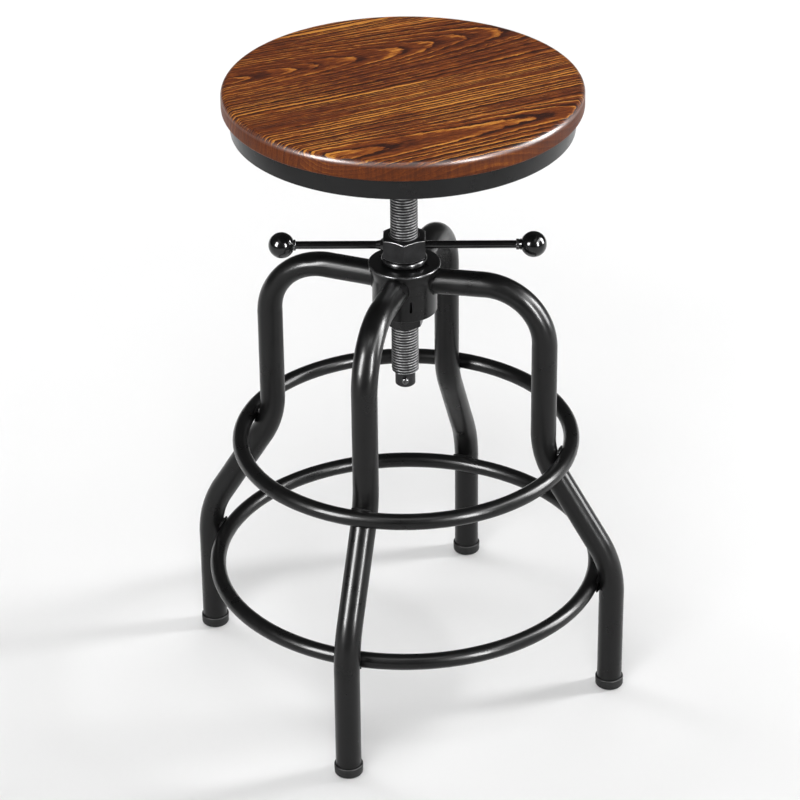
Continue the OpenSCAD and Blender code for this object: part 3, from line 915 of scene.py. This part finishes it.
def camera():
    """The photograph's point of view."""
    data = bpy.data.cameras.new("camera")
    data.lens = LENS_MM
    data.sensor_width = SENSOR_MM
    data.shift_y = FRAMING_SHIFT
    data.clip_end = 60
    obj = in_scene("camera", data)
    forward = Vector((0, math.cos(CAMERA_PITCH), -math.sin(CAMERA_PITCH)))
    turn = Matrix.Rotation(CAMERA_TURN, 4, "Z")
    place = Matrix.Translation(AIM - forward * CAMERA_DISTANCE)
    look = Matrix.Rotation(math.pi / 2 - CAMERA_PITCH, 4, "X") @ Matrix.Rotation(CAMERA_ROLL, 4, "Z")
    obj.matrix_world = turn @ place @ look
    bpy.context.scene.camera = obj


# ---------------------------------------------------------------- build

def finish_cad_nodes(finishes):
    """Gives the CAD nodes whose shapes are right a better material."""
    for node, material in finishes.items():
        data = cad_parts[node].data
        data.materials.clear()
        data.materials.append(material)
        data.shade_smooth()
        data.set_sharp_from_angle(angle=CAD_CREASE)


BLACK = paint("black_paint", shade=0.0042, roughness=0.30, peel=0.0018 * MM, coat=0.12)
# lighter metal for the hub's flange rim only: a painted highlight
RIM_HIGHLIGHT = machined("rim_highlight_metal", (0.04, 0.04, 0.041), (0.13, 0.13, 0.132), 0.28)
SLEEK = paint("arm_paint", shade=0.006, roughness=0.20, peel=0.002 * MM, coat=0.5)
ENAMEL = paint("ball_enamel", shade=0.006, roughness=0.16, peel=0.0015 * MM, coat=0.5)
OXIDE = machined("black_oxide", (0.014, 0.014, 0.0145), (0.026, 0.026, 0.027), 0.34)
# lighter metal on the T-bar nut's bevels: edge wear, and a painted highlight
WORN_EDGE_HIGHLIGHT = machined("worn_edge_highlight", (0.10, 0.10, 0.10), (0.34, 0.34, 0.345), 0.30)
PIN = machined("dark_pin", (0.08, 0.08, 0.081), (0.15, 0.15, 0.152), 0.22)
WASHER = machined("washer_steel", (0.030, 0.030, 0.031), (0.058, 0.058, 0.059), 0.22)
RUBBER = rubber("cap_rubber")
ZINC = plated("bright_steel", (0.62, 0.62, 0.63), 0.28)
BRONZE = plated("bronze", (0.55, 0.36, 0.16), 0.34)
WOOD = stained_wood(span("seat_board")[1])
THREAD = thread_steel(reach("lift_screw"))

seat_board(WOOD)
seat_pan(BLACK)
for name in LEGS:
    leg(name, BLACK)
    foot_cap(name, RUBBER)
    welds(name, BLACK)
tube_ring("upper_ring", BLACK)
tube_ring("lower_ring", BLACK)
hub(BLACK, RIM_HIGHLIGHT)
stop_pin(PIN)
ball_collar("right", 0, PIN)
ball_collar("left", math.pi, PIN)
thrust_washer(WASHER)
tbar_nut(OXIDE, WORN_EDGE_HIGHLIGHT)
guide_nut(BLACK)
finish_cad_nodes({
    "guide_key": ZINC, "left_arm": SLEEK, "right_arm": SLEEK, "left_ball": ENAMEL, "right_ball": ENAMEL,
    "swivel_thrust_washer": BRONZE, "retaining_washer": ZINC, "retaining_clip": OXIDE,
    "swivel_bush": BRONZE, "swivel_socket": BLACK, "plate_screws": ZINC, "rim_screws": ZINC})
lift_screw(THREAD)

floor()
studio()
camera()
bpy.context.scene.view_settings.view_transform = "Standard"
bpy.context.scene.view_settings.look = "None"
